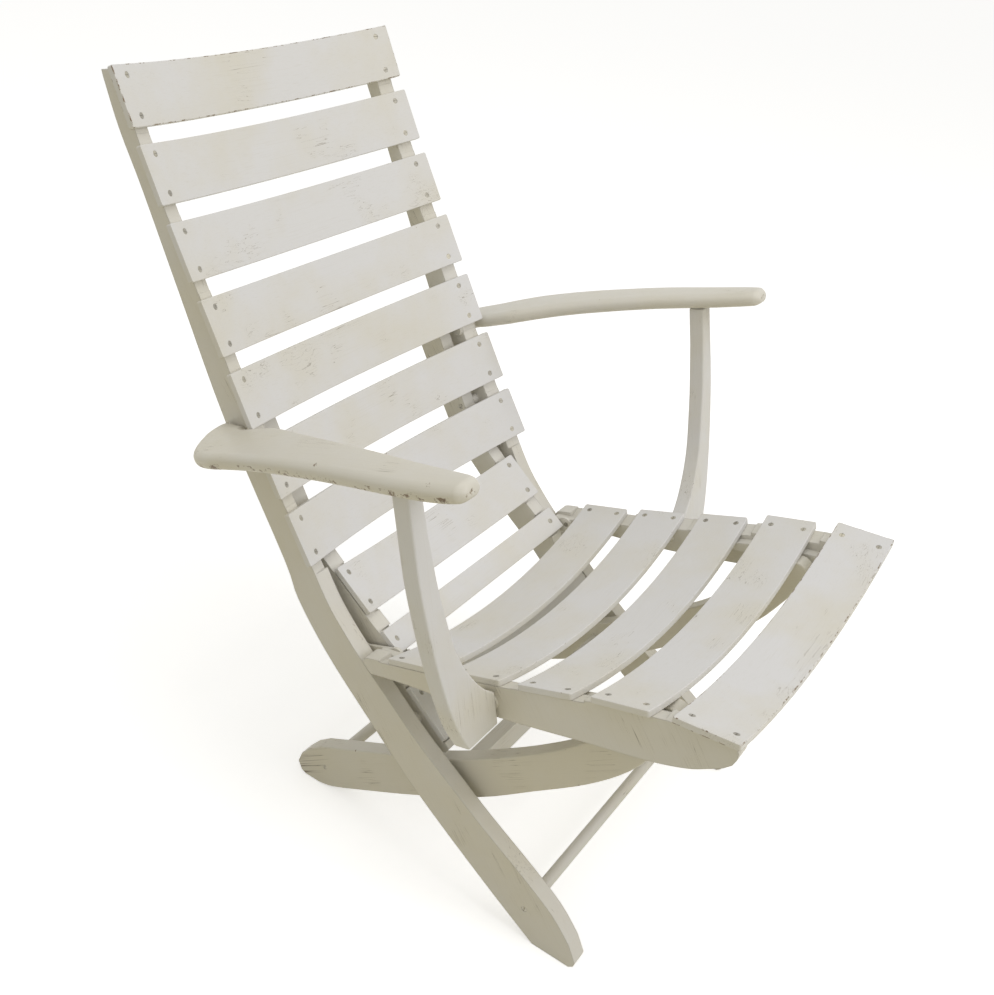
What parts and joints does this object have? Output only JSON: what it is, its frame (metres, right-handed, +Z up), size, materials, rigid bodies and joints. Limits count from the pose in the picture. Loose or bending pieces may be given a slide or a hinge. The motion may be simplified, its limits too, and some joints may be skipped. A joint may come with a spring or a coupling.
{
  "type": "reclining chair",
  "caption": "Folding reclining garden chair in white painted wood, with dished slats, crossed curved legs and bent armrests on posts.",
  "frame": {"origin": "on the ground under the middle of the chair's box", "axes": "+Z up, -Y the way the sitter looks, +X to the sitter's left"},
  "size_m": [0.7482, 0.9146, 0.8966],
  "materials": {
    "painted_wood": "satin",
    "steel": "dull"
  },
  "bodies": {
    "back_frame": {"upright_right": "painted_wood", "upright_left": "painted_wood", "lumbar_rail_right": "painted_wood", "lumbar_rail_left": "painted_wood", "back_slat_1": "painted_wood", "back_slat_2": "painted_wood", "back_slat_3": "painted_wood", "back_slat_4": "painted_wood", "back_slat_5": "painted_wood", "back_slat_6": "painted_wood", "back_slat_7": "painted_wood", "lumbar_slat_1": "painted_wood", "lumbar_slat_2": "painted_wood", "lumbar_slat_3": "painted_wood", "front_dowel": "painted_wood", "frame_spacers": "painted_wood", "frame_bolts": "steel", "frame_screws": "steel", "frame_side_screws": "steel"},
    "seat_frame": {"seat_rail_right": "painted_wood", "seat_rail_left": "painted_wood", "seat_slat_1": "painted_wood", "seat_slat_2": "painted_wood", "seat_slat_3": "painted_wood", "seat_slat_4": "painted_wood", "seat_slat_5": "painted_wood", "cleat_right": "painted_wood", "cleat_left": "painted_wood", "hinge_block_right": "painted_wood", "hinge_block_left": "painted_wood", "hinge_plate_right": "steel", "hinge_plate_left": "steel", "seat_bolts": "steel", "seat_screws": "steel", "seat_side_screws": "steel"},
    "rear_legs": {"rear_leg_right": "painted_wood", "rear_leg_left": "painted_wood", "leg_rail": "painted_wood", "leg_dowel": "painted_wood", "leg_screws": "steel", "rest_pins": "steel"},
    "post_r": {"post_right": "painted_wood"},
    "post_l": {"post_left": "painted_wood"},
    "armrest_r": {"arm_right": "painted_wood", "arm_pin_right": "steel"},
    "armrest_l": {"arm_left": "painted_wood", "arm_pin_left": "steel"}
  },
  "joints": [
    {"name": "seat_tilt", "type": "hinge", "parent": "back_frame", "child": "seat_frame", "pos_m": [0, 0.033, 0.274], "axis": [1, 0, 0], "range_deg": [0, 13.2]},
    {"name": "leg_fold", "type": "hinge", "parent": "back_frame", "child": "rear_legs", "pos_m": [0, -0.115, 0.147], "axis": [1, 0, 0], "range_deg": [0, 18.79]},
    {"name": "post_turn_r", "type": "hinge", "parent": "seat_frame", "child": "post_r", "pos_m": [0, -0.168, 0.338], "axis": [1, 0, 0], "range_deg": [-12.34, 0]},
    {"name": "post_turn_l", "type": "hinge", "parent": "seat_frame", "child": "post_l", "pos_m": [0, -0.168, 0.338], "axis": [1, 0, 0], "range_deg": [-12.34, 0]},
    {"name": "armrest_turn_r", "type": "hinge", "parent": "back_frame", "child": "armrest_r", "pos_m": [0, 0.219, 0.519], "axis": [1, 0, 0], "range_deg": [0, 8.59]},
    {"name": "armrest_turn_l", "type": "hinge", "parent": "back_frame", "child": "armrest_l", "pos_m": [0, 0.219, 0.519], "axis": [1, 0, 0], "range_deg": [0, 8.59]}
  ],
  "couplings": [
    {"joint": "leg_fold", "follows": "seat_tilt", "ratio": 1.42},
    {"joint": "post_turn_r", "follows": "seat_tilt", "ratio": -0.9307},
    {"joint": "post_turn_l", "follows": "seat_tilt", "ratio": -0.9307},
    {"joint": "armrest_turn_r", "follows": "seat_tilt", "ratio": 0.647},
    {"joint": "armrest_turn_l", "follows": "seat_tilt", "ratio": 0.647}
  ]
}
